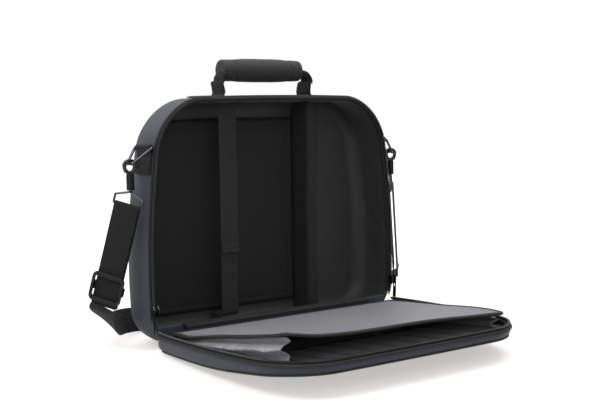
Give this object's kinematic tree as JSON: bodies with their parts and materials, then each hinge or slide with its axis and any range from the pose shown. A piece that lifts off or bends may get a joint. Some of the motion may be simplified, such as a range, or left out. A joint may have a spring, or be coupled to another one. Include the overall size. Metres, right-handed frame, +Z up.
{
  "type": "laptop hard case",
  "caption": "Moulded zip-up case that stands open, with a bay beside the main bay, a file pocket in the lid, a padded carrying handle and a clip-on shoulder strap",
  "frame": {"origin": "middle of the flat base the open case stands on, under the tray", "axes": "X runs across the case to its right, Y from the lid side to the back, Z up"},
  "size_m": [0.5558, 0.4684, 0.406],
  "materials": {
    "case_shell": "moulded foam faced with a smooth dark blue-grey woven fabric",
    "lining": "black satin lining",
    "binding": "folded binding tape, dark with a purple cast",
    "zip": "black zip tape and coil",
    "webbing": "ribbed black webbing",
    "flap": "smooth grey fabric over a stiff sheet",
    "gusset": "grey-blue woven fabric",
    "grip": "dark padded fabric",
    "plastic": "glossy black moulded plastic",
    "steel": "dark nickel-plated steel",
    "zip_metal": "black enamelled zinc"
  },
  "bodies": {
    "tray": {"tray_shell": "case_shell", "tray_lining": "lining", "tray_binding": "binding", "tray_zip": "zip", "hinge_leaf_tray": "binding", "back_pad": "lining", "bay_divider": "lining", "strap_lower": "webbing", "handle_anchors": "webbing", "ring_anchor_left": "webbing", "ring_anchor_right": "webbing", "webbing_floor": "webbing"},
    "lid": {"lid_shell": "case_shell", "lid_lining": "lining", "lid_binding": "binding", "lid_zip": "zip", "hinge_leaf_lid": "binding", "front_pocket_panel": "case_shell", "front_pocket_zip": "zip", "pleated_pocket": "lining", "flap_leaf": "binding", "gusset_left": "gusset", "gusset_right": "gusset"},
    "flap": {"file_flap": "flap", "flap_binding": "binding"},
    "strap_top": {"strap_upper": "webbing"},
    "handle": {"handle_webbing": "webbing", "handle_grip": "grip"},
    "slider_left": {"zip_slider_left": "zip_metal"},
    "pull_left": {"zip_pull_left": "zip_metal"},
    "strap_end_left": {"ring_left": "steel", "wire_loop_left": "steel", "webbing_left": "webbing"},
    "hook_left": {"snap_hook_left": "plastic"},
    "gate_left": {"hook_gate_left": "steel"},
    "slider_right": {"zip_slider_right": "zip_metal"},
    "pull_right": {"zip_pull_right": "zip_metal"},
    "strap_end_right": {"ring_right": "steel", "wire_loop_right": "steel", "webbing_right": "webbing"},
    "hook_right": {"snap_hook_right": "plastic"},
    "gate_right": {"hook_gate_right": "steel"},
    "length_slider": {"strap_slider": "plastic"}
  },
  "joints": [
    {"name": "lid_hinge", "type": "hinge", "parent": "tray", "child": "lid", "pos_m": [0, -0.045, 0.032], "axis": [-1, 0, 0], "range_deg": [0, 86.9]},
    {"name": "flap_hinge", "type": "hinge", "parent": "lid", "child": "flap", "pos_m": [0, -0.05731, 0.02666], "axis": [1, 0, 0], "range_deg": [-31, 1.9], "deforming": ["gusset_left", "gusset_right"]},
    {"name": "strap_peel", "type": "hinge", "parent": "tray", "child": "strap_top", "pos_m": [-0.066, -0.00435, 0.33], "axis": [1, 0, 0], "range_deg": [-100, 0]},
    {"name": "handle_tip", "type": "hinge", "parent": "tray", "child": "handle", "pos_m": [0, 0.005, 0.37102], "axis": [1, 0, 0], "range_deg": [-60, 60]},
    {"name": "zip_travel_left", "type": "hinge", "parent": "tray", "child": "slider_left", "pos_m": [0.97155, -0.045, 0.105], "axis": [0, 1, 0], "range_deg": [0, 10.23]},
    {"name": "pull_swing_left", "type": "hinge", "parent": "slider_left", "child": "pull_left", "pos_m": [-0.21192, -0.045, 0.0555], "axis": [0, 1, 0], "range_deg": [0, 150]},
    {"name": "strap_swing_left", "type": "hinge", "parent": "tray", "child": "strap_end_left", "pos_m": [-0.20309, -0.015, 0.282], "axis": [-0.1083, 0.9941, 0], "range_deg": [0, 30]},
    {"name": "hook_swivel_left", "type": "hinge", "parent": "strap_end_left", "child": "hook_left", "pos_m": [-0.22597, -0.01749, 0.25977], "axis": [0, 0, 1], "range_deg": [-15, 15]},
    {"name": "gate_left", "type": "hinge", "parent": "hook_left", "child": "gate_left", "pos_m": [-0.23124, -0.01807, 0.24985], "axis": [-0.1083, 0.9941, 0], "range_deg": [0, 15], "stiffness_Nm_per_rad": 0.02, "springref_deg": -20.05},
    {"name": "zip_travel_right", "type": "hinge", "parent": "tray", "child": "slider_right", "pos_m": [-0.97155, -0.045, 0.105], "axis": [0, -1, 0], "range_deg": [0, 10.23]},
    {"name": "pull_swing_right", "type": "hinge", "parent": "slider_right", "child": "pull_right", "pos_m": [0.21192, -0.045, 0.0555], "axis": [0, -1, 0], "range_deg": [0, 150]},
    {"name": "strap_swing_right", "type": "hinge", "parent": "tray", "child": "strap_end_right", "pos_m": [0.20309, -0.015, 0.282], "axis": [-0.1083, -0.9941, 0], "range_deg": [0, 30]},
    {"name": "hook_swivel_right", "type": "hinge", "parent": "strap_end_right", "child": "hook_right", "pos_m": [0.22597, -0.01749, 0.25977], "axis": [0, 0, 1], "range_deg": [-15, 15]},
    {"name": "gate_right", "type": "hinge", "parent": "hook_right", "child": "gate_right", "pos_m": [0.23124, -0.01807, 0.24985], "axis": [-0.1083, -0.9941, 0], "range_deg": [0, 15], "stiffness_Nm_per_rad": 0.02, "springref_deg": -20.05},
    {"name": "strap_length", "type": "slide", "parent": "strap_end_left", "child": "length_slider", "axis": [0.1982, -0.1698, 0.9653], "range_m": [0, 0.06]}
  ]
}
